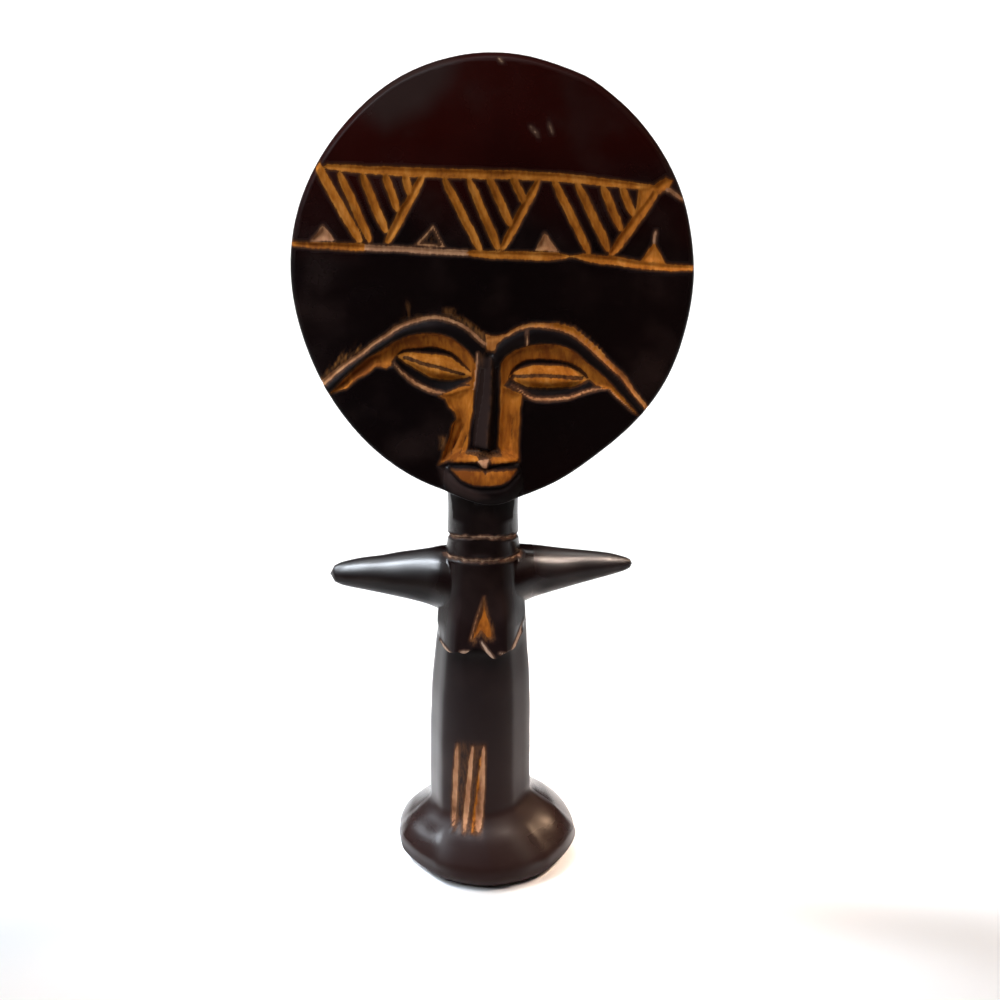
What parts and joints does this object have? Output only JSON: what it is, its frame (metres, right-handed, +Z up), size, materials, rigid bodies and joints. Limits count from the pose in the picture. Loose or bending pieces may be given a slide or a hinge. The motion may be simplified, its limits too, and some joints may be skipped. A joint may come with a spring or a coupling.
{
  "type": "carved wooden figure",
  "caption": "Standing carved wooden doll with a large flat egg-shaped head, ringed neck, short cone arms, round column body and domed foot",
  "frame": {"origin": "middle of the flat underside of the foot", "axes": "+Z up along the column, the face looks towards -Y, +X is on the right of someone who faces it"},
  "size_m": [0.1362, 0.0672, 0.2994],
  "materials": {
    "stained_wood": "near-black stain polished to a satin gloss, with cut lines and face hollows scraped back to bare ochre wood"
  },
  "bodies": {
    "root": {"carved_figure": "stained_wood"}
  },
  "joints": []
}
